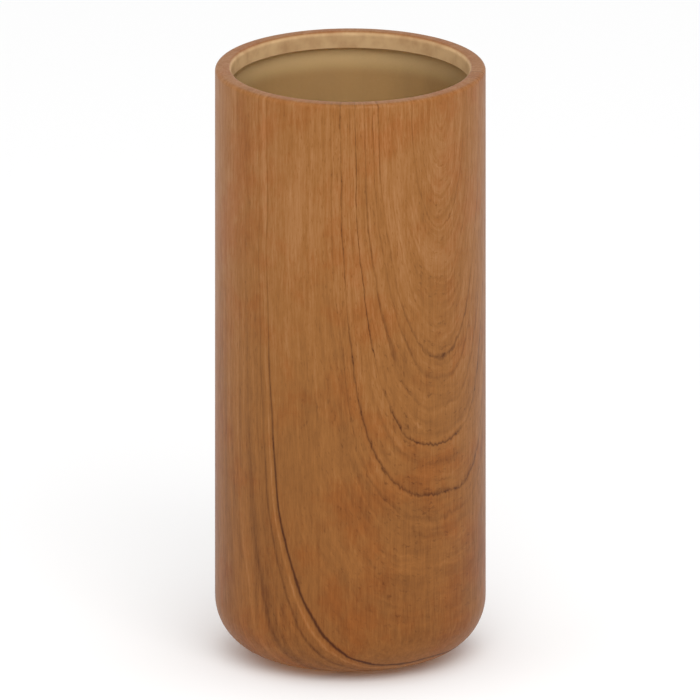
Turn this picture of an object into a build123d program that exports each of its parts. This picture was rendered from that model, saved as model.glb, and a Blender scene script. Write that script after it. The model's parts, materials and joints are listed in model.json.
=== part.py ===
"""Coated glass cylinder vase with a wood-grain outside, in millimetres.

A thick-walled clear glass cylinder stands on small pads. An opaque base coat covers the
glass outside, and a printed wood-grain film covers the base coat. Both are carried over
the lip and a short way down inside the mouth. Below that edge the inside is bare glass.

The origin is the centre of the plane that the pads rest on. +Z is up.
"""

import math
import os

from build123d import *

# Overall size of the coated vase, without its pads
OUTER_DIAMETER = 112.0
BODY_HEIGHT = 250.5

# Wall, floor and mouth
GLASS_WALL = 5.95
FLOOR_THICKNESS = 12.0
FLOOR_CORNER_RADIUS = 10.0
BASE_CORNER_RADIUS = 23.0
LIP_EDGE_RADIUS = 1.8

# Coatings. Each is drawn thicker than a real coat, which is under a tenth of a millimetre
BASE_COAT = 0.2
FILM = 0.2
TURN_IN_DEPTH = 6.8

# Shallow hollow in the underside, inside the flat ring that carries the pads
PUNT_DEPTH = 2.0
PUNT_EDGE_RADIUS = 1.5

# Self-adhesive pads under the base, with the flat ring left clear on each side of them
PAD_COUNT = 4
PAD_DIAMETER = 8.0
PAD_THICKNESS = 1.5
PAD_EDGE_RADIUS = 0.5
PAD_TO_CORNER_MARGIN = 1.5
PAD_TO_PUNT_MARGIN = 2.5

# What follows from those sizes
OUTER_RADIUS = OUTER_DIAMETER / 2
COATING = BASE_COAT + FILM
UNDERSIDE = PAD_THICKNESS
TOP = UNDERSIDE + BODY_HEIGHT
GLASS_BORE_RADIUS = OUTER_RADIUS - COATING - GLASS_WALL
MOUTH_RADIUS = GLASS_BORE_RADIUS - COATING
FLOOR = UNDERSIDE + COATING + FLOOR_THICKNESS
TURN_IN_END = TOP - TURN_IN_DEPTH
PAD_CIRCLE_RADIUS = OUTER_RADIUS - BASE_CORNER_RADIUS - PAD_TO_CORNER_MARGIN - PAD_DIAMETER / 2
PUNT_RADIUS = PAD_CIRCLE_RADIUS - PAD_DIAMETER / 2 - PAD_TO_PUNT_MARGIN
PUNT_SPHERE_RADIUS = (PUNT_RADIUS**2 + PUNT_DEPTH**2) / (2 * PUNT_DEPTH)
PUNT_CENTRE = UNDERSIDE + PUNT_DEPTH - PUNT_SPHERE_RADIUS


def at(sketch, x, z):
    """The sketch's vertex at that radius and height."""
    return min(sketch.vertices(), key=lambda v: math.hypot(v.X - x, v.Z - z))


def cup_section(inset):
    """Half section of the vase with that much coating taken off its coated faces."""
    wall = OUTER_RADIUS - inset
    under = UNDERSIDE + inset
    top = TOP - inset
    mouth = MOUTH_RADIUS + inset
    sphere = PUNT_SPHERE_RADIUS + inset
    apex = PUNT_CENTRE + sphere
    punt_edge = math.sqrt(sphere**2 - (under - PUNT_CENTRE) ** 2)
    punt_mid = punt_edge / 2
    punt_mid_height = PUNT_CENTRE + math.sqrt(sphere**2 - punt_mid**2)

    hollow = ThreePointArc((0, 0, apex), (punt_mid, 0, punt_mid_height), (punt_edge, 0, under))
    outline = [
        (punt_edge, under),
        (wall, under),
        (wall, top),
        (mouth, top),
        (mouth, TURN_IN_END),
    ]
    if mouth < GLASS_BORE_RADIUS:
        outline.append((GLASS_BORE_RADIUS, TURN_IN_END))
    outline += [(GLASS_BORE_RADIUS, FLOOR), (0, FLOOR), (0, apex)]
    walls = Polyline(*[(x, 0, z) for x, z in outline])
    section = make_face(hollow.edges() + walls.edges())

    section = fillet(at(section, wall, under), BASE_CORNER_RADIUS - inset)
    section = fillet(at(section, punt_edge, under), PUNT_EDGE_RADIUS - inset)
    section = fillet(at(section, wall, top), LIP_EDGE_RADIUS - inset)
    section = fillet(at(section, mouth, top), LIP_EDGE_RADIUS - inset)
    return fillet(at(section, GLASS_BORE_RADIUS, FLOOR), FLOOR_CORNER_RADIUS)


def cup(inset):
    """The vase as one solid of revolution, with that much coating taken off."""
    return revolve(cup_section(inset), axis=Axis.Z)


def wood_grain_film():
    """Printed film with its clear topcoat: the skin of the outside, lip and turn-in."""
    return cup(0) - cup(FILM)


def base_coat():
    """Opaque tan coat between the film and the glass, seen from inside through the glass."""
    return cup(FILM) - cup(COATING)


def glass_body():
    """Clear glass cylinder with a heavy floor, rounded lip edges and a shallow punt."""
    return cup(COATING)


def bumper_pads():
    """Round pads, evenly spaced on the flat ring of the underside."""
    pad = extrude(Circle(PAD_DIAMETER / 2), PAD_THICKNESS)
    lower_edge = pad.edges().group_by(Axis.Z)[0]
    pad = fillet(lower_edge, PAD_EDGE_RADIUS)
    half_step = 180 / PAD_COUNT
    spots = PolarLocations(PAD_CIRCLE_RADIUS, PAD_COUNT, start_angle=half_step)
    return Compound(children=[spot * pad for spot in spots])


def main():
    os.makedirs("parts", exist_ok=True)
    makers = (glass_body, base_coat, wood_grain_film, bumper_pads)
    for maker in makers:
        export_step(maker(), f"parts/{maker.__name__}.step")


main()
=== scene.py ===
"""Coated glass cylinder vase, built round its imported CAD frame.

Four pieces: the clear glass, the tan base coat on it, the wood-grain film over
that, and the clear pads that it stands on. All sizes are in metres. Grain
patterns are worked out in millimetres.
"""

import json
import math

import bpy
from bpy.props import FloatProperty, FloatVectorProperty, IntProperty, PointerProperty
from bpy.types import Operator, Panel, PropertyGroup
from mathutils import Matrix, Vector


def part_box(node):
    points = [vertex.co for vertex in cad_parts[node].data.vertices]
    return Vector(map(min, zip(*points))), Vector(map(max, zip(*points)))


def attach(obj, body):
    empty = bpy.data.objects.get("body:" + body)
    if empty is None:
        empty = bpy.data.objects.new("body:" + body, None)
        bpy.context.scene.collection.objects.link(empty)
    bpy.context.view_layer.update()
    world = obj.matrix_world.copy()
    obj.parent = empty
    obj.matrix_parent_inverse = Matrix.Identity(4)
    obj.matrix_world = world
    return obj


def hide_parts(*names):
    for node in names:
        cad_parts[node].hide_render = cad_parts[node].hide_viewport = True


bl_info = {
    "name": "Wood-grain glass vase",
    "version": (1, 0, 0),
    "blender": (4, 5, 0),
    "location": "View3D > Sidebar > Vase",
    "description": "Makes a coated glass cylinder vase and a plain stage for it",
    "category": "Object",
}

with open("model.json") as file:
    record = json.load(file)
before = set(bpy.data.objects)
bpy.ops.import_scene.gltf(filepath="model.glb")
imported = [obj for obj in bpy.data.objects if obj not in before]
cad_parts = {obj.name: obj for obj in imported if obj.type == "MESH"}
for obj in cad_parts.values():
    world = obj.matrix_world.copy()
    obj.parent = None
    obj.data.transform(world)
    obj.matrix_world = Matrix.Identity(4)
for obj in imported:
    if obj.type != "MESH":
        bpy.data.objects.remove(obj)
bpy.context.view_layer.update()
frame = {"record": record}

FILM_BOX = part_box("wood_grain_film")
COAT_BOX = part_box("base_coat")
GLASS_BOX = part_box("glass_body")
PADS_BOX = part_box("bumper_pads")
MOUNTS = {mount["name"]: mount for mount in frame["record"]["mounts"]}

OUTER_RADIUS = FILM_BOX[1].x
UNDERSIDE = FILM_BOX[0].z
TOP = FILM_BOX[1].z
FILM_THICKNESS = OUTER_RADIUS - COAT_BOX[1].x
COATING = OUTER_RADIUS - GLASS_BOX[1].x
MOUTH_RADIUS = MOUNTS["mouth"]["dims"]["r_mm"] / 1000
PAD_SPOT = Vector(MOUNTS["standing_pads"]["pos_m"])
PAD_COUNT = 4

MM = 1000.0
SAME_POINT = 1e-6
SMOOTH_ANGLE = math.radians(32)

# The coat reaches this far into the glass, so that no gap shows between them
GLASS_OVERLAP = 0.00005

# Radius of the hollow's edge, and how far a straight stretch stops short of a rounding
PUNT_EDGE = 0.0002
UNDER_GAP = 0.0002
WALL_GAP = 0.0005

# Rows of faces along each straight stretch, and faces across each rounding
PUNT_ROWS = 6
UNDER_ROWS = 3
WALL_ROWS = 18
TURN_IN_ROWS = 2
FLOOR_ROWS = 4
PUNT_EDGE_STEPS = 2
BASE_STEPS = 16
LIP_STEPS = 7
FLOOR_STEPS = 10
PAD_EDGE_STEPS = 6
PAD_ROUND_STEPS = 48


def metres(name, description, default, low=0.0001, high=1.0):
    """A length that a user may change."""
    return FloatProperty(
        name=name,
        description=description,
        default=default,
        min=low,
        max=high,
        precision=5,
        unit="LENGTH",
        subtype="DISTANCE",
    )


def colour(name, description, default):
    """A colour that a user may change, as linear light."""
    return FloatVectorProperty(
        name=name,
        description=description,
        default=default,
        min=0.0,
        max=1.0,
        size=3,
        subtype="COLOR",
    )


class VaseSizes(PropertyGroup):
    """Sizes of the vase that its frame's boxes don't give."""

    glass_wall: metres("Glass wall", "Thickness of the glass side wall", 0.00595)
    floor_thickness: metres("Floor", "Thickness of the glass floor", 0.012)
    floor_corner: metres("Floor corner", "Radius inside the vase between floor and wall", 0.010)
    base_corner: metres("Base corner", "Radius outside the vase between wall and underside", 0.023)
    lip_edge: metres("Lip edge", "Radius of both edges of the lip", 0.0018)
    turn_in: metres("Turn-in", "How far the coatings go down inside the mouth", 0.0068)
    punt_radius: metres("Punt radius", "Radius of the shallow hollow underneath", 0.021)
    punt_depth: metres("Punt depth", "Depth of the shallow hollow underneath", 0.002)
    pad_radius: metres("Pad radius", "Radius of one pad", 0.004)
    pad_edge: metres("Pad edge", "Radius of a pad's lower edge", 0.0009)
    round_steps: IntProperty(
        name="Steps round",
        description="How many faces go round each piece",
        default=192,
        min=48,
        max=256,
    )


class VaseColours(PropertyGroup):
    """Colours of the vase and its stage."""

    wood_pale: colour("Pale wood", "Palest early wood in the print", (0.372, 0.174, 0.068))
    wood_mid: colour("Mid wood", "Main tone of the print", (0.268, 0.107, 0.027))
    wood_dark: colour("Dark wood", "Darkest late wood in the print", (0.070, 0.021, 0.005))
    wood_flush: colour("Red patches", "Tint of the redder patches in the print", (0.96, 0.72, 0.52))
    # Painted sheen: this tint greys the print on top of the lip as a white reflection would
    lip_sheen: colour("Lip top", "Tint of the dull print on top of the lip", (0.88, 0.90, 1.0))
    lip_tan: colour("Lip tan", "What the print fades to inside the lip", (0.600, 0.392, 0.200))
    # Painted light: a paler coat just below the rim, standing in for light in the shade under the
    # turn-in
    coat_painted_light: colour("Paler coat", "Lacquer where it is misted at the top", (0.940, 0.670, 0.330))
    coat_tan: colour("Base coat", "Tan lacquer seen through the glass", (0.455, 0.262, 0.098))
    glass_tint: colour("Glass", "Tint of the clear glass", (0.975, 0.992, 0.985))
    pad_clear: colour("Pads", "Clear soft silicone", (0.90, 0.86, 0.78))
    floor_white: colour("Floor", "Paper sweep under the vase", (0.92, 0.92, 0.92))


# Shaping


def start_outline(points):
    """Draws a bent line through (radius, height) points and leaves it in edit mode."""
    bpy.ops.object.select_all(action="DESELECT")
    bpy.ops.mesh.primitive_plane_add(size=0.01, location=(0, 0, 0))
    bpy.ops.object.mode_set(mode="EDIT")
    bpy.ops.mesh.select_mode(type="VERT")
    bpy.ops.mesh.select_all(action="SELECT")
    bpy.ops.mesh.merge(type="CENTER")
    here = points[0]
    bpy.ops.transform.translate(value=(here[0], 0, here[1]))
    for there in points[1:]:
        step = (there[0] - here[0], 0, there[1] - here[1])
        bpy.ops.mesh.extrude_region_move(TRANSFORM_OT_translate={"value": step})
        here = there
    return bpy.context.object


def round_corner(outline, corner, radius, segments):
    """Rounds the outline's one corner at that (radius, height) point."""
    bpy.ops.mesh.select_all(action="DESELECT")
    bpy.ops.object.mode_set(mode="OBJECT")
    spot = Vector((corner[0], 0, corner[1]))
    nearest = min(outline.data.vertices, key=lambda v: (v.co - spot).length)
    if (nearest.co - spot).length > SAME_POINT * 10:
        raise RuntimeError(f"no corner at {corner}")
    before = len(outline.data.vertices)
    nearest.select = True
    bpy.ops.object.mode_set(mode="EDIT")
    bpy.ops.mesh.bevel(
        affect="VERTICES", offset=radius, segments=segments, profile=0.5, offset_type="OFFSET"
    )
    outline.update_from_editmode()
    if len(outline.data.vertices) != before + segments:
        raise RuntimeError(f"the corner at {corner} didn't round cleanly")


def spin_round(outline, steps, name):
    """Turns the outline into a closed-seam round shell and leaves edit mode."""
    bpy.ops.mesh.select_all(action="SELECT")
    bpy.ops.mesh.spin(steps=steps, angle=2 * math.pi, center=(0, 0, 0), axis=(0, 0, 1))
    bpy.ops.mesh.select_all(action="SELECT")
    bpy.ops.mesh.remove_doubles(threshold=SAME_POINT)
    bpy.ops.mesh.normals_make_consistent(inside=False)
    bpy.ops.mesh.select_all(action="DESELECT")
    bpy.ops.object.mode_set(mode="OBJECT")
    outline.name = name
    outline.data.name = name
    return outline


def thicken(shell, thickness):
    """Gives the shell that thickness, inwards from its outer face."""
    bpy.ops.object.modifier_add(type="SOLIDIFY")
    wall = shell.modifiers[-1]
    wall.thickness = thickness
    wall.offset = -1
    wall.use_even_offset = True
    bpy.ops.object.modifier_apply(modifier=wall.name)


def run(start, end, rows):
    """Points on a straight run from start, left out, to end, taken in."""
    return [
        (
            start[0] + (end[0] - start[0]) * row / rows,
            start[1] + (end[1] - start[1]) * row / rows,
        )
        for row in range(1, rows + 1)
    ]


def cup_outline(sizes, inset, inside):
    """The vase's half outline with that much coating taken off, and the corners to round.

    It runs from the middle of the underside round the outside and over the lip.
    It ends at the turn-in's edge, or goes on round the inside if asked.
    """
    wall = OUTER_RADIUS - inset
    under = UNDERSIDE + inset
    top = TOP - inset
    mouth = MOUTH_RADIUS + inset
    below_lip = TOP - sizes.lip_edge - WALL_GAP
    turn_end = TOP - sizes.turn_in

    # The hollow underneath is a cap of a ball, which grows as coating is taken off
    ball = (sizes.punt_radius**2 + sizes.punt_depth**2) / (2 * sizes.punt_depth)
    ball_centre = UNDERSIDE + sizes.punt_depth - ball
    ball += inset
    edge = math.sqrt(ball**2 - (under - ball_centre) ** 2)
    reach = [edge * row / PUNT_ROWS for row in range(PUNT_ROWS + 1)]
    points = [(out, ball_centre + math.sqrt(ball**2 - out**2)) for out in reach]

    points += run(points[-1], (wall - sizes.base_corner + inset - UNDER_GAP, under), UNDER_ROWS)
    wall_start = (wall, UNDERSIDE + sizes.base_corner + WALL_GAP)
    points += [(wall, under), wall_start]
    points += run(wall_start, (wall, below_lip), WALL_ROWS)
    points += [(wall, top), (mouth, top), (mouth, below_lip)]
    points += run(points[-1], (mouth, turn_end), TURN_IN_ROWS)
    corners = [
        ((edge, under), PUNT_EDGE, PUNT_EDGE_STEPS),
        ((wall, under), sizes.base_corner - inset, BASE_STEPS),
        ((wall, top), sizes.lip_edge - inset, LIP_STEPS),
        ((mouth, top), sizes.lip_edge - inset, LIP_STEPS),
    ]
    if inside:
        bore = wall - sizes.glass_wall
        floor = UNDERSIDE + COATING + sizes.floor_thickness
        corner_top = (bore, floor + sizes.floor_corner + WALL_GAP)
        floor_start = (bore - sizes.floor_corner - WALL_GAP, floor)
        points += run((mouth, turn_end), corner_top, WALL_ROWS)
        points += [(bore, floor), floor_start]
        points += run(floor_start, (0, floor), FLOOR_ROWS)
        corners.append(((bore, floor), sizes.floor_corner, FLOOR_STEPS))
    return points, corners


def make_cup(sizes, name, inset, inside=False, thickness=None):
    """One round piece of the vase: a solid, or a coat of that thickness."""
    points, corners = cup_outline(sizes, inset, inside)
    outline = start_outline(points)
    for corner, radius, segments in corners:
        round_corner(outline, corner, radius, segments)
    cup = spin_round(outline, sizes.round_steps, name)
    if thickness:
        thicken(cup, thickness)
    bpy.ops.object.shade_smooth_by_angle(angle=SMOOTH_ANGLE)
    return cup


def finish_piece(piece, material, node):
    """Gives a piece its material and its place in the frame."""
    piece.data.materials.clear()
    piece.data.materials.append(material)
    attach(piece, "root")
    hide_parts(node)


# Material recipes


def rgba(shade):
    """A colour with its alpha, or one value as a grey."""
    return (*shade, 1.0) if hasattr(shade, "__len__") else (shade, shade, shade, 1.0)


class Recipe:
    """A material's nodes, added one step at a time."""

    def __init__(self, name):
        self.material = bpy.data.materials.new(name)
        self.material.use_nodes = True
        self.tree = self.material.node_tree
        self.tree.nodes.clear()
        self.out = self.tree.nodes.new("ShaderNodeOutputMaterial")

    def put(self, value, socket):
        """Links another node's output to a socket, or sets the socket's value."""
        if isinstance(value, bpy.types.NodeSocket):
            self.tree.links.new(value, socket)
        elif socket.type == "RGBA":
            socket.default_value = rgba(value)
        else:
            socket.default_value = value

    def node(self, kind, **inputs):
        """Adds a node with these input values, spaces in their names written as _."""
        made = self.tree.nodes.new("ShaderNode" + kind)
        for key, value in inputs.items():
            self.put(value, made.inputs[key.replace("_", " ")])
        return made

    def sum(self, operation, *values, clamp=False):
        """One step of arithmetic."""
        made = self.tree.nodes.new("ShaderNodeMath")
        made.operation = operation
        made.use_clamp = clamp
        for value, socket in zip(values, made.inputs):
            self.put(value, socket)
        return made.outputs[0]

    def off(self, layer):
        """How far a layer is off its middle value."""
        return self.sum("SUBTRACT", layer, 0.5)

    def place(self, scale=(MM, MM, MM), turn=0.0):
        """The point on the piece, in millimetres unless scaled otherwise."""
        where = self.node("TexCoord")
        made = self.node("Mapping", Vector=where.outputs["Object"])
        made.inputs["Scale"].default_value = scale
        made.inputs["Rotation"].default_value = (0, 0, turn)
        return made.outputs[0]

    def noise(self, vector, scale, detail=2.0, rough=0.5, along=None):
        """Smooth random values about 0.5. along adds a fourth direction, one step per unit."""
        made = self.tree.nodes.new("ShaderNodeTexNoise")
        if along is not None:
            made.noise_dimensions = "4D"
            self.put(self.sum("DIVIDE", along, scale), made.inputs["W"])
        self.put(vector, made.inputs["Vector"])
        made.inputs["Scale"].default_value = scale
        made.inputs["Detail"].default_value = detail
        made.inputs["Roughness"].default_value = rough
        return made.outputs[0]

    def fade(self, value, low, high, start=0.0, end=1.0):
        """Goes smoothly from start to end as value goes from low to high."""
        made = self.tree.nodes.new("ShaderNodeMapRange")
        made.interpolation_type = "SMOOTHSTEP"
        self.put(value, made.inputs["Value"])
        made.inputs["From Min"].default_value = low
        made.inputs["From Max"].default_value = high
        made.inputs["To Min"].default_value = start
        made.inputs["To Max"].default_value = end
        return made.outputs[0]

    def ramp(self, value, stops):
        """Reads a value off a line of (place, colour) stops."""
        made = self.tree.nodes.new("ShaderNodeValToRGB")
        line = made.color_ramp
        line.elements.remove(line.elements[1])
        line.elements[0].position = stops[0][0]
        line.elements[0].color = rgba(stops[0][1])
        for spot, shade in stops[1:]:
            line.elements.new(spot).color = rgba(shade)
        self.put(value, made.inputs[0])
        return made.outputs[0]

    def blend(self, factor, one, two, how="MIX"):
        """Mixes two colours."""
        made = self.tree.nodes.new("ShaderNodeMix")
        made.data_type = "RGBA"
        made.blend_type = how
        sockets = [s for s in made.inputs if s.enabled]
        for value, socket in zip((factor, one, two), sockets):
            self.put(value, socket)
        return next(s for s in made.outputs if s.enabled)

    def cover(self, factor, one, two):
        """Lays the second shader over the first, as far as the factor says."""
        made = self.tree.nodes.new("ShaderNodeMixShader")
        for value, socket in zip((factor, one, two), made.inputs):
            self.put(value, socket)
        return made.outputs[0]

    def bump(self, height, strength, distance):
        """Small relief from a height."""
        made = self.node("Bump", Height=height)
        made.inputs["Strength"].default_value = strength
        made.inputs["Distance"].default_value = distance
        return made.outputs[0]

    def done(self, shader):
        """Sends the shader to the surface."""
        self.put(shader, self.out.inputs["Surface"])
        return self.material


def clear_to_lamps(recipe, shader, tint):
    """Lets lamplight through a clear material instead of casting a hard shadow."""
    lamplight = recipe.node("LightPath").outputs["Is Shadow Ray"]
    through = recipe.node("BsdfTransparent", Color=tint).outputs[0]
    return recipe.cover(lamplight, shader, through)


def clear_glass(colours):
    """Clear glass: faint ripples and a few dull patches."""
    recipe = Recipe("clear_glass")
    spot = recipe.place()
    ripple = recipe.noise(spot, 0.035, 2.0)
    haze = recipe.noise(spot, 0.09, 4.0, 0.6)
    skin = recipe.node(
        "BsdfPrincipled",
        Base_Color=colours.glass_tint,
        Transmission_Weight=1.0,
        IOR=1.5,
        Roughness=recipe.fade(haze, 0.35, 0.75, 0.008, 0.035),
        Normal=recipe.bump(ripple, 0.05, 0.001),
    )
    return recipe.done(clear_to_lamps(recipe, skin.outputs[0], colours.glass_tint))


# How far the base coat's runs are drawn out up the wall (less is longer), and how far
# below the rim its painted light, a paler coat that stands in for light under the turn-in, is full
# and where it has gone
RUN_STRETCH = 0.12
PAINTED_LIGHT_FULL = 0.0085
PAINTED_LIGHT_END = 0.020


def tan_base_coat(colours):
    """Sprayed tan lacquer: soft clouds, faint runs down the wall, fine orange peel, and painted
    light that makes it paler near the rim.
    """
    recipe = Recipe("tan_base_coat")
    spot = recipe.place()
    clouds = recipe.noise(spot, 0.022, 3.0, 0.55)
    runs = recipe.noise(recipe.place((MM, MM, MM * RUN_STRETCH)), 0.11, 3.0, 0.5)
    peel = recipe.noise(spot, 1.3, 2.0)
    tan = Vector(colours.coat_tan)
    shade = recipe.sum("MULTIPLY_ADD", runs, 0.35, recipe.sum("MULTIPLY", clouds, 0.65))
    tone = recipe.ramp(shade, ((0.3, tan * 0.86), (0.5, tan), (0.7, tan * 1.1)))
    height = recipe.node("SeparateXYZ", Vector=spot).outputs["Z"]
    # Painted light: the coat turns paler towards the rim to brighten the shade under the turn-in
    painted_light = recipe.fade(height, (TOP - PAINTED_LIGHT_END) * MM, (TOP - PAINTED_LIGHT_FULL) * MM, 0.0, 0.95)
    tone = recipe.blend(painted_light, tone, colours.coat_painted_light)
    speck = recipe.ramp(peel, ((0.2, 0.93), (0.5, 1.0)))
    skin = recipe.node(
        "BsdfPrincipled",
        Base_Color=recipe.blend(1.0, tone, speck, "MULTIPLY"),
        Roughness=recipe.fade(clouds, 0.3, 0.7, 0.62, 0.78),
        IOR=1.45,
        Normal=recipe.bump(peel, 0.12, 0.0001),
    )
    return recipe.done(skin.outputs[0])


# The print's rings are squashed ovals about one upright line, this far round from the front
ARCH_TURN = math.radians(42)
RING_SQUASH = 0.26

# The rest of the rings' shape, in millimetres. Round the wall, distances from the upright
# line count in full as far as SIDE_FULL and for SIDE_SHARE beyond it. The ovals get squarer
# outwards: their power is POWER_LEAST up to SQUARER_FROM and grows by POWER_GROWTH over
# SQUARER_SPAN, judged by an oval of power POWER_TRIAL.
SIDE_FULL = 44.0
SIDE_SHARE = 0.64
SQUARER_FROM = 110.0
SQUARER_SPAN = 143.0
POWER_TRIAL = 2.6
POWER_LEAST = 2.05
POWER_GROWTH = 1.95

# How far noise moves the rings round the wall and up or down it, and the least distance
# below the rim that counts. Above WALL_MIDDLE that distance runs on over the lip, and
# below it round the base.
SIDE_SWAY = 5.0
DROP_WANDER = 7.0
DROP_LEAST = 0.01
WALL_MIDDLE = 100.0

# Single lines in the print: the ring size in millimetres, how dark the line is (below 0 is
# pale), how far it fades out on its inner side, and how far on its outer side. Each table
# covers ring sizes up to its span.
INNER_SPAN = 200.0
INNER_LINES = (
    (57, 0.20, 1.8, 0.8),
    (80, 0.14, 2.0, 0.8),
    (98, 0.14, 1.6, 0.8),
    (113, 0.42, 1.6, 0.8),
    (122, 0.18, 1.6, 0.8),
    (135, 0.26, 2.0, 0.8),
    (150, 0.46, 1.6, 0.8),
    (159, 0.14, 2.0, 0.8),
    (172, 0.36, 1.8, 0.8),
    (182, 0.16, 2.0, 0.8),
)
OUTER_SPAN = 400.0
OUTER_LINES = (
    (253, 0.66, 1.1, 0.7),
    (257.6, -0.30, 1.8, 1.8),
    (264, 0.26, 1.6, 1.4),
    (272, 0.10, 2.5, 2.5),
    (284, 0.22, 9.0, 7.0),
    (301, -0.18, 3.0, 3.0),
    (318, -0.14, 3.0, 3.0),
)

# Ring size to one step of the rings, the bands and the broad bands, steps of pores to a
# millimetre of it, and how far the fibres push the rings to and fro
RING_STEP = 2.6
BAND_STEP = 8.0
BROAD_STEP = 26.0
PORES_EACH_MM = 0.7
RING_JAG = 2.8

# How strongly the arches show, by ring size as a share of OUTER_SPAN, and how dark the
# print is before any layer is added
ARCH_STRENGTH = (
    (0.0, 0.5),
    (0.12, 0.9),
    (0.36, 1.0),
    (0.43, 1.0),
    (0.52, 0.75),
    (0.61, 0.40),
    (0.65, 0.62),
)
PLAIN_DARKNESS = 0.44


def line_stops(lines, span):
    """Lines as stops about a middle grey: above it is dark, below it is pale."""
    stops = [(0.0, 0.5)]
    for size, depth, inner, outer in lines:
        stops.append(((size - inner) / span, 0.5))
        stops.append((size / span, 0.5 + depth / 2))
        stops.append(((size + outer) / span, 0.5))
    return stops


def ring_size(recipe, spot):
    """Size of the ring through each point, its distance down from the rim, and its radius.

    All are in millimetres. The distance runs on over the lip and round the base.
    """
    x, y, z = recipe.node("SeparateXYZ", Vector=spot).outputs
    squares = [recipe.sum("MULTIPLY", value, value) for value in (x, y)]
    radius = recipe.sum("SQRT", recipe.sum("ADD", *squares))
    angle = recipe.sum("ARCTAN2", x, recipe.sum("MULTIPLY", y, -1.0))
    inwards = recipe.sum("SUBTRACT", OUTER_RADIUS * MM, radius)
    down = recipe.sum("SUBTRACT", TOP * MM, z)

    lip_middle = (OUTER_RADIUS + MOUTH_RADIUS) / 2 * MM
    outer_side = recipe.sum("SIGN", recipe.sum("SUBTRACT", radius, lip_middle))
    over_lip = recipe.sum("SUBTRACT", recipe.sum("MULTIPLY", down, outer_side), inwards)
    round_base = recipe.sum("ADD", down, inwards)
    low = recipe.sum("GREATER_THAN", down, WALL_MIDDLE)
    drop = recipe.sum(
        "ADD",
        recipe.sum("MULTIPLY", round_base, low),
        recipe.sum("MULTIPLY", over_lip, recipe.sum("SUBTRACT", 1.0, low)),
    )

    sway = recipe.off(recipe.noise(spot, 0.018, 2.0, 0.5))
    wander = recipe.off(recipe.noise(spot, 0.07, 3.0, 0.55))
    side = recipe.sum("MULTIPLY", angle, OUTER_RADIUS * MM)
    side = recipe.sum("ABSOLUTE", recipe.sum("MULTIPLY_ADD", sway, SIDE_SWAY, side))
    drop = recipe.sum("MULTIPLY_ADD", wander, DROP_WANDER, drop)
    drop = recipe.sum("MAXIMUM", drop, DROP_LEAST)

    near = recipe.sum("MINIMUM", side, SIDE_FULL)
    far = recipe.sum("MAXIMUM", recipe.sum("SUBTRACT", side, SIDE_FULL), 0.0)
    across = recipe.sum("MULTIPLY_ADD", far, SIDE_SHARE, near)
    across = recipe.sum("DIVIDE", across, RING_SQUASH)

    def oval(power):
        wide, high = recipe.sum("POWER", across, power), recipe.sum("POWER", drop, power)
        return recipe.sum("POWER", recipe.sum("ADD", wide, high), recipe.sum("DIVIDE", 1.0, power))

    squarer = recipe.sum("SUBTRACT", oval(POWER_TRIAL), SQUARER_FROM)
    squarer = recipe.sum("DIVIDE", squarer, SQUARER_SPAN, clamp=True)
    return oval(recipe.sum("MULTIPLY_ADD", squarer, POWER_GROWTH, POWER_LEAST)), drop, radius


def fibre_noise(recipe, stretch, scale, detail, rough):
    """Noise drawn out along the grain's upright line, more so the smaller the stretch."""
    spot = recipe.place((MM, MM, MM * stretch), -ARCH_TURN)
    return recipe.noise(spot, scale, detail, rough)


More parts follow.
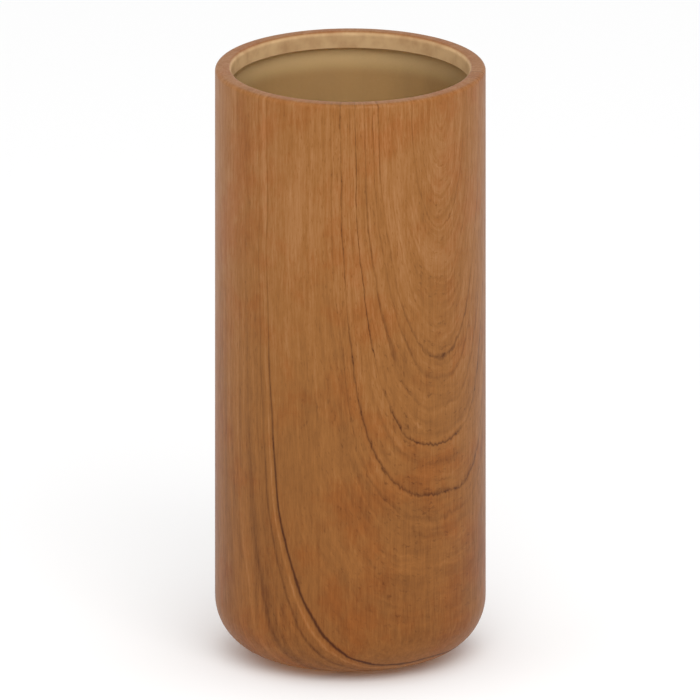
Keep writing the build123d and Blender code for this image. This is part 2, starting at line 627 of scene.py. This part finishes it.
def grain_darkness(recipe, spot, size, drop, fibres):
    """How dark the print is at each point, from all its layers together."""
    strands = fibre_noise(recipe, 0.018, 0.42, 3.0, 0.6)
    jag = recipe.off(fibre_noise(recipe, 0.22, 0.75, 2.0, 0.6))
    stepped = recipe.sum("MULTIPLY_ADD", jag, RING_JAG, size)

    # Uneven late-wood rings, broad bands, and where the arches show most
    rings = recipe.sum("DIVIDE", stepped, RING_STEP)
    rings = recipe.noise(spot, 0.05, 3.0, 0.65, along=rings)
    bands = recipe.sum("DIVIDE", size, BAND_STEP)
    bands = recipe.noise(spot, 0.030, 2.0, 0.5, along=bands)
    broad = recipe.sum("DIVIDE", size, BROAD_STEP)
    broad = recipe.noise(spot, 0.012, 2.0, 0.5, along=broad)
    patches = recipe.fade(recipe.noise(spot, 0.06, 3.0, 0.6), 0.36, 0.64, 0.35, 1.0)
    outer_share = recipe.sum("DIVIDE", size, OUTER_SPAN)
    arches = recipe.ramp(outer_share, ARCH_STRENGTH)

    # Single lines, stronger and weaker along their length
    inner_share = recipe.sum("DIVIDE", stepped, INNER_SPAN)
    inner = recipe.ramp(inner_share, line_stops(INNER_LINES, INNER_SPAN))
    outer = recipe.ramp(outer_share, line_stops(OUTER_LINES, OUTER_SPAN))
    broken = recipe.fade(recipe.noise(spot, 0.045, 4.0, 0.65), 0.34, 0.58, 0.25, 1.0)
    lower = recipe.fade(drop, 60.0, 190.0, 0.45, 1.0)

    pores = recipe.sum("MULTIPLY", stepped, PORES_EACH_MM)
    pores = recipe.fade(recipe.noise(spot, 0.35, 2.0, 0.5, along=pores), 0.58, 0.72)
    strand_share = recipe.fade(size, 235.0, 262.0, 0.6, 0.85)
    ring_share = recipe.sum("MULTIPLY", recipe.off(rings), arches)

    # Each layer with how much it darkens
    layers = (
        (recipe.off(broad), 0.24),
        (recipe.sum("MULTIPLY", recipe.off(bands), arches), 0.34),
        (recipe.sum("MULTIPLY", ring_share, patches), 0.80),
        (recipe.sum("MULTIPLY", recipe.off(inner), broken), 2.2),
        (recipe.sum("MULTIPLY", recipe.off(outer), lower), 1.9),
        (recipe.off(fibres), 0.46),
        (recipe.sum("MULTIPLY", recipe.off(strands), strand_share), 0.46),
        (recipe.sum("MULTIPLY", pores, arches), 0.20),
        (recipe.off(recipe.noise(spot, 0.22, 3.0, 0.6)), 0.13),
        (recipe.off(recipe.noise(spot, 0.025, 3.0, 0.5)), 0.12),
        # Painted light and shade: lighter near the rim and darker towards the base, as light from
        # above falls
        (recipe.fade(drop, 20.0, 225.0, -0.08, 0.14), 1.0),
    )
    dark = PLAIN_DARKNESS
    for layer, amount in layers:
        dark = recipe.sum("MULTIPLY_ADD", layer, amount, dark)
    return dark


def lip_sheen_and_thin_print(recipe, colours, tone, spot, drop, radius):
    """The print's tone, with a painted sheen that greys it on top of the lip, and thin where it
    turns in.
    """
    high = recipe.fade(drop, WALL_MIDDLE, 60.0)
    worn = recipe.fade(recipe.noise(spot, 0.09, 3.0, 0.6), 0.30, 0.70, 1.0, 0.55)
    sheen_from, sheen_to = ((OUTER_RADIUS - inwards) * MM for inwards in (0.0001, 0.0014))
    # Painted sheen: the top of the lip is tinted greyer, as if it reflected white light
    sheen = recipe.fade(radius, sheen_from, sheen_to, 0.0, 0.85)
    sheen = recipe.sum("MULTIPLY", sheen, high)
    tone = recipe.blend(sheen, tone, colours.lip_sheen, "MULTIPLY")
    thin_from, thin_to = ((MOUTH_RADIUS + outwards) * MM for outwards in (0.0012, 0.0001))
    thin = recipe.fade(radius, thin_from, thin_to, 0.0, 1.0)
    thin = recipe.sum("MULTIPLY", recipe.sum("MULTIPLY", thin, high), worn, clamp=True)
    return recipe.blend(thin, tone, colours.lip_tan)


def wood_grain_print(colours):
    """Printed plain-sawn grain under a satin topcoat."""
    recipe = Recipe("wood_grain_print")
    spot = recipe.place(turn=-ARCH_TURN)
    size, drop, radius = ring_size(recipe, spot)

    # Fibres run straight up whatever the rings do
    fibres = fibre_noise(recipe, 0.10, 1.25, 4.0, 0.7)
    dark = grain_darkness(recipe, spot, size, drop, fibres)
    pale, mid, deep = (Vector(c) for c in (colours.wood_pale, colours.wood_mid, colours.wood_dark))
    tone = recipe.ramp(dark, ((0.10, pale), (0.44, mid), (0.72, mid.lerp(deep, 0.45)), (1.0, deep)))

    flush = recipe.noise(spot, 0.045, 4.0, 0.6)
    flush = recipe.sum("MULTIPLY_ADD", recipe.off(fibres), 0.35, flush)
    flush = recipe.fade(flush, 0.44, 0.70, 0.0, 0.55)
    flush = recipe.sum("ADD", flush, recipe.fade(drop, 110.0, 255.0, 0.0, 0.30), clamp=True)
    tone = recipe.blend(flush, tone, colours.wood_flush, "MULTIPLY")

    skin = recipe.node(
        "BsdfPrincipled",
        Base_Color=lip_sheen_and_thin_print(recipe, colours, tone, spot, drop, radius),
        Roughness=recipe.fade(fibres, 0.3, 0.7, 0.38, 0.50),
        IOR=1.46,
        Specular_IOR_Level=0.10,
        Coat_Weight=0.05,
        Coat_Roughness=0.30,
        Normal=recipe.bump(dark, 0.08, 0.0002),
    )
    return recipe.done(skin.outputs[0])


def clear_pad(colours):
    """Clear soft silicone, a little cloudy and dusty."""
    recipe = Recipe("clear_pad")
    spot = recipe.place()
    cloud = recipe.noise(spot, 0.7, 3.0)
    dust = recipe.noise(spot, 3.0, 2.0)
    clear = Vector(colours.pad_clear)
    skin = recipe.node(
        "BsdfPrincipled",
        Base_Color=recipe.ramp(cloud, ((0.3, clear * 0.93), (0.7, clear))),
        Transmission_Weight=0.85,
        IOR=1.41,
        Roughness=recipe.fade(dust, 0.35, 0.7, 0.16, 0.34),
        Normal=recipe.bump(dust, 0.1, 0.0001),
    )
    return recipe.done(clear_to_lamps(recipe, skin.outputs[0], colours.pad_clear))


def pale_floor(colours):
    """Pale paper, see-through from below so that the underside can be looked at."""
    recipe = Recipe("pale_floor")
    back = recipe.node("NewGeometry").outputs["Backfacing"]
    paper = recipe.node("BsdfDiffuse", Color=colours.floor_white).outputs[0]
    through = recipe.node("BsdfTransparent").outputs[0]
    return recipe.done(recipe.cover(back, paper, through))


# Operators


class VASE_OT_stage(Operator):
    """Makes the pale floor, the soft lights and the camera"""

    bl_idname = "vase.stage"
    bl_label = "Stage"

    CAMERA_RISE = math.radians(16.8)
    CAMERA_DISTANCE = 1.2
    VIEW_SIZE = 0.2895
    AIM = (-0.00015, 0.0, 0.12948)
    FLOOR_SIZE = 8.0

    def softbox(self, name, size, place, power):
        """One square softbox that faces the middle of the vase."""
        bpy.ops.object.light_add(type="AREA", location=place)
        lamp = bpy.context.object
        lamp.name = name
        lamp.data.shape = "SQUARE"
        lamp.data.size = size
        lamp.data.energy = power
        middle = Vector((0, 0, (TOP + UNDERSIDE) / 2))
        lamp.rotation_euler = (middle - Vector(place)).to_track_quat("-Z", "Y").to_euler()

    def execute(self, context):
        scene = context.scene
        colours = scene.vase_colours
        bpy.ops.object.select_all(action="DESELECT")
        bpy.ops.mesh.primitive_plane_add(size=self.FLOOR_SIZE, location=(0, 0, PADS_BOX[0].z))
        floor = context.object
        floor.name = "stage_floor"
        floor.data.materials.append(pale_floor(colours))
        # Light from the sky passes up through the floor, so that the underside isn't black
        floor.visible_diffuse = False
        floor.visible_shadow = False

        self.softbox("softbox_key", size=0.9, place=(0.18, -0.88, 0.95), power=6.5)
        self.softbox("softbox_fill", size=0.8, place=(-0.9, -0.7, 0.7), power=0.3)

        world = bpy.data.worlds.new("studio")
        scene.world = world
        world.use_nodes = True
        sky = world.node_tree.nodes["Background"]
        sky.inputs["Color"].default_value = (1.0, 1.0, 1.0, 1.0)
        sky.inputs["Strength"].default_value = 1.0

        back = Vector((0, -math.cos(self.CAMERA_RISE), math.sin(self.CAMERA_RISE)))
        bpy.ops.object.camera_add(location=Vector(self.AIM) + back * self.CAMERA_DISTANCE)
        camera = context.object
        camera.name = "camera"
        camera.rotation_euler = (math.pi / 2 - self.CAMERA_RISE, 0, 0)
        camera.data.type = "ORTHO"
        camera.data.ortho_scale = self.VIEW_SIZE
        camera.data.clip_start = 0.01
        camera.data.clip_end = 20.0
        scene.camera = camera

        scene.view_settings.view_transform = "Standard"
        scene.view_settings.look = "None"
        return {"FINISHED"}


class VASE_OT_glass(Operator):
    """Makes the clear glass body"""

    bl_idname = "vase.glass"
    bl_label = "Glass body"

    def execute(self, context):
        sizes, colours = context.scene.vase_sizes, context.scene.vase_colours
        glass = make_cup(sizes, "vase_glass", COATING, inside=True)
        finish_piece(glass, clear_glass(colours), "glass_body")
        return {"FINISHED"}


class VASE_OT_base_coat(Operator):
    """Makes the tan coat that lies on the glass"""

    bl_idname = "vase.base_coat"
    bl_label = "Base coat"

    def execute(self, context):
        sizes, colours = context.scene.vase_sizes, context.scene.vase_colours
        thickness = COATING - FILM_THICKNESS + GLASS_OVERLAP
        coat = make_cup(sizes, "vase_base_coat", FILM_THICKNESS, thickness=thickness)
        finish_piece(coat, tan_base_coat(colours), "base_coat")
        return {"FINISHED"}


class VASE_OT_wood_film(Operator):
    """Makes the wood-grain film over the base coat"""

    bl_idname = "vase.wood_film"
    bl_label = "Wood-grain film"

    def execute(self, context):
        sizes, colours = context.scene.vase_sizes, context.scene.vase_colours
        film = make_cup(sizes, "vase_wood_film", 0.0, thickness=FILM_THICKNESS)
        finish_piece(film, wood_grain_print(colours), "wood_grain_film")
        return {"FINISHED"}


class VASE_OT_pads(Operator):
    """Makes one clear pad and copies it round the underside"""

    bl_idname = "vase.pads"
    bl_label = "Pads"

    def execute(self, context):
        sizes, colours = context.scene.vase_sizes, context.scene.vase_colours
        low, high = PADS_BOX[0].z, UNDERSIDE
        shoulder = (high - low) / 10
        outline = start_outline(
            [
                (0, low),
                (sizes.pad_radius * 0.5, low),
                (sizes.pad_radius, low),
                (sizes.pad_radius, high - shoulder * 1.5),
                (sizes.pad_radius - shoulder, high - shoulder),
                (sizes.pad_radius - shoulder, high),
                (sizes.pad_radius * 0.5, high),
                (0, high),
            ]
        )
        round_corner(outline, (sizes.pad_radius, low), sizes.pad_edge, PAD_EDGE_STEPS)
        pad = spin_round(outline, PAD_ROUND_STEPS, "vase_pads")
        bpy.ops.object.shade_smooth_by_angle(angle=SMOOTH_ANGLE)
        bpy.ops.object.mode_set(mode="EDIT")
        bpy.ops.mesh.select_all(action="SELECT")
        bpy.ops.transform.translate(value=(PAD_SPOT.x, PAD_SPOT.y, 0))
        bpy.ops.object.mode_set(mode="OBJECT")
        pads = [pad]
        for turn in range(1, PAD_COUNT):
            bpy.ops.object.select_all(action="DESELECT")
            pad.select_set(True)
            context.view_layer.objects.active = pad
            bpy.ops.object.duplicate(linked=False)
            copy = context.object
            bpy.ops.object.mode_set(mode="EDIT")
            bpy.ops.mesh.select_all(action="SELECT")
            bpy.ops.transform.rotate(
                value=2 * math.pi * turn / PAD_COUNT, orient_axis="Z", center_override=(0, 0, 0)
            )
            bpy.ops.object.mode_set(mode="OBJECT")
            pads.append(copy)
        bpy.ops.object.select_all(action="DESELECT")
        for one in pads:
            one.select_set(True)
        context.view_layer.objects.active = pad
        bpy.ops.object.join()
        finish_piece(pad, clear_pad(colours), "bumper_pads")
        return {"FINISHED"}


class VASE_PT_maker(Panel):
    """Lists the vase's pieces, sizes and colours"""

    bl_idname = "VASE_PT_maker"
    bl_label = "Wood-grain vase"
    bl_space_type = "VIEW_3D"
    bl_region_type = "UI"
    bl_category = "Vase"

    def draw(self, context):
        layout = self.layout
        for step in STEPS:
            layout.operator(step.bl_idname)
        for group in (context.scene.vase_sizes, context.scene.vase_colours):
            box = layout.box()
            for key in group.__annotations__:
                box.prop(group, key)


STEPS = (VASE_OT_stage, VASE_OT_glass, VASE_OT_base_coat, VASE_OT_wood_film, VASE_OT_pads)
CLASSES = (VaseSizes, VaseColours, *STEPS, VASE_PT_maker)


def register():
    for made in CLASSES:
        bpy.utils.register_class(made)
    bpy.types.Scene.vase_sizes = PointerProperty(type=VaseSizes)
    bpy.types.Scene.vase_colours = PointerProperty(type=VaseColours)


def unregister():
    del bpy.types.Scene.vase_colours
    del bpy.types.Scene.vase_sizes
    for made in reversed(CLASSES):
        bpy.utils.unregister_class(made)


def main():
    register()
    bpy.ops.vase.stage()
    bpy.ops.vase.glass()
    bpy.ops.vase.base_coat()
    bpy.ops.vase.wood_film()
    bpy.ops.vase.pads()


if __name__ == "__main__":
    main()
